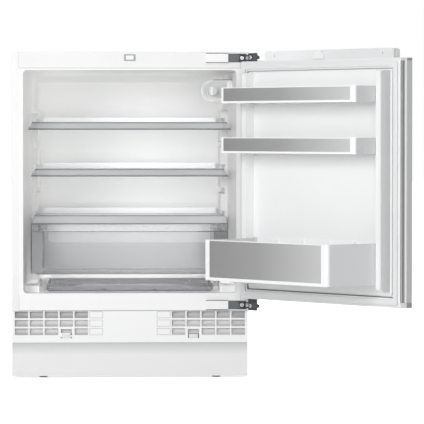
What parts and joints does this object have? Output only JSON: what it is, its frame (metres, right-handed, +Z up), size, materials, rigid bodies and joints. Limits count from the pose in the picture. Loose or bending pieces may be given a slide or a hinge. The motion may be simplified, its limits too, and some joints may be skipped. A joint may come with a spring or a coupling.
{
  "type": "built-under refrigerator",
  "caption": "Under-counter larder refrigerator with open door, glass shelves, crisper, door bins, linkage hinges and a ventilated base.",
  "frame": {"origin": "floor level under the middle of the cabinet, the door not counted", "axes": "+Z up; +Y towards the cabinet's rear; +X to the right seen from the front"},
  "size_m": [0.9711, 1.045, 0.826],
  "materials": {
    "white_metal": "gloss",
    "grey_metal": "satin",
    "zinc_steel": "satin",
    "hinge_steel": "satin",
    "white_plastic": "gloss",
    "liner_plastic": "gloss",
    "grey_plastic": "matte",
    "smoky_plastic": "gloss",
    "foam": "matte",
    "shelf_glass": "gloss",
    "trim_plastic": "gloss",
    "bright_aluminium": "brushed",
    "evaporator_aluminium": "satin",
    "black_metal": "satin",
    "copper": "satin",
    "black_rubber": "matte",
    "grey_rubber": "matte",
    "black_plastic": "matte",
    "lens_plastic": "gloss",
    "board": "matte"
  },
  "bodies": {
    "cabinet": {"left_side": "white_metal", "right_side": "white_metal", "top_panel": "white_metal", "rear_panel": "grey_metal", "base_pan": "zinc_steel", "foam_insulation": "foam", "inner_liner": "liner_plastic", "top_fascia": "white_plastic", "bottom_rail": "white_plastic", "evaporator_plate": "evaporator_aluminium", "drain_tube": "black_rubber", "lamp_housing": "white_plastic", "lamp_lens": "lens_plastic", "lamp_board": "board", "switch_housing": "grey_plastic", "compressor": "black_metal", "compressor_grommets": "black_rubber", "start_relay": "white_plastic", "condenser_coil": "black_metal", "fan_shroud": "grey_plastic", "fan_motor": "black_plastic", "evaporation_tray": "grey_plastic", "refrigerant_lines": "copper", "filter_drier": "copper", "power_inlet": "black_plastic", "vent_grille": "white_plastic", "plinth_panel": "grey_metal", "hinge_bases": "hinge_steel", "hinge_covers": "white_plastic"},
    "door": {"door_skin": "grey_metal", "door_foam": "foam", "door_liner": "liner_plastic", "door_gasket": "grey_rubber", "door_caps": "grey_plastic", "panel_rail": "white_plastic", "switch_actuator": "white_plastic", "door_brackets": "hinge_steel"},
    "outer_links": {"hinge_links_outer": "hinge_steel"},
    "inner_links": {"hinge_links_inner": "hinge_steel"},
    "top_bin_unit": {"top_bin": "white_plastic", "top_bin_trim": "bright_aluminium"},
    "middle_bin_unit": {"middle_bin": "white_plastic", "middle_bin_trim": "bright_aluminium"},
    "bottom_bin_unit": {"bottom_bin": "white_plastic", "bottom_bin_trim": "bright_aluminium"},
    "upper_shelf_unit": {"upper_shelf": "shelf_glass", "upper_shelf_trim": "trim_plastic"},
    "lower_shelf_unit": {"lower_shelf": "shelf_glass", "lower_shelf_trim": "trim_plastic"},
    "crisper_cover_unit": {"crisper_cover": "shelf_glass", "crisper_cover_trim": "trim_plastic"},
    "crisper": {"crisper_drawer": "smoky_plastic"},
    "tray": {"floor_tray": "smoky_plastic"},
    "knob": {"thermostat_knob": "white_plastic"},
    "plunger": {"switch_plunger": "white_plastic"},
    "fan": {"fan_rotor": "grey_plastic"},
    "foot_front_left": {"front_left_foot": "black_plastic"},
    "foot_front_right": {"front_right_foot": "black_plastic"},
    "foot_rear_left": {"rear_left_foot": "black_plastic"},
    "foot_rear_right": {"rear_right_foot": "black_plastic"}
  },
  "joints": [
    {"name": "door_hinge", "type": "hinge", "parent": "cabinet", "child": "door", "pos_m": [0.2922, -0.2687, 0], "axis": [0, 0, 1], "range_deg": [-127.5, 0]},
    {"name": "outer_link_hinge", "type": "hinge", "parent": "cabinet", "child": "outer_links", "pos_m": [0.29006, -0.25996, 0], "axis": [0, 0, 1], "range_deg": [-95.8, 0]},
    {"name": "inner_link_hinge", "type": "hinge", "parent": "cabinet", "child": "inner_links", "pos_m": [0.2793, -0.25924, 0], "axis": [0, 0, 1], "range_deg": [-66.4, 0]},
    {"name": "top_bin_lift", "type": "slide", "parent": "door", "child": "top_bin_unit", "axis": [0, 0, 1], "range_m": [0, 0.018]},
    {"name": "middle_bin_lift", "type": "slide", "parent": "door", "child": "middle_bin_unit", "axis": [0, 0, 1], "range_m": [0, 0.018]},
    {"name": "bottom_bin_lift", "type": "slide", "parent": "door", "child": "bottom_bin_unit", "axis": [0, 0, 1], "range_m": [0, 0.018]},
    {"name": "upper_shelf_slide", "type": "slide", "parent": "cabinet", "child": "upper_shelf_unit", "axis": [0, -1, 0], "range_m": [0, 0.23]},
    {"name": "lower_shelf_slide", "type": "slide", "parent": "cabinet", "child": "lower_shelf_unit", "axis": [0, -1, 0], "range_m": [0, 0.23]},
    {"name": "crisper_cover_slide", "type": "slide", "parent": "cabinet", "child": "crisper_cover_unit", "axis": [0, -1, 0], "range_m": [0, 0.23]},
    {"name": "crisper_slide", "type": "slide", "parent": "cabinet", "child": "crisper", "axis": [0, -1, 0], "range_m": [0, 0.22]},
    {"name": "tray_slide", "type": "slide", "parent": "cabinet", "child": "tray", "axis": [0, -1, 0], "range_m": [0, 0.23]},
    {"name": "knob_turn", "type": "hinge", "parent": "cabinet", "child": "knob", "pos_m": [0.213, -0.1365, 0.729], "axis": [0, 1, 0], "range_deg": [0, 270]},
    {"name": "switch_press", "type": "slide", "parent": "cabinet", "child": "plunger", "axis": [0, 1, 0], "range_m": [0, 0.003], "stiffness_N_per_m": 200},
    {"name": "fan_spin", "type": "hinge", "parent": "cabinet", "child": "fan", "pos_m": [0, 0.025, 0.0907], "axis": [1, 0, 0], "continuous": true},
    {"name": "front_left_foot_screw", "type": "slide", "parent": "cabinet", "child": "foot_front_left", "axis": [0, 0, -1], "range_m": [0, 0.05]},
    {"name": "front_right_foot_screw", "type": "slide", "parent": "cabinet", "child": "foot_front_right", "axis": [0, 0, -1], "range_m": [0, 0.05]},
    {"name": "rear_left_foot_screw", "type": "slide", "parent": "cabinet", "child": "foot_rear_left", "axis": [0, 0, -1], "range_m": [0, 0.05]},
    {"name": "rear_right_foot_screw", "type": "slide", "parent": "cabinet", "child": "foot_rear_right", "axis": [0, 0, -1], "range_m": [0, 0.05]}
  ],
  "couplings": [
    {"joint": "outer_link_hinge", "follows": "door_hinge", "ratio": 0.74758},
    {"joint": "inner_link_hinge", "follows": "door_hinge", "ratio": 0.51693}
  ]
}
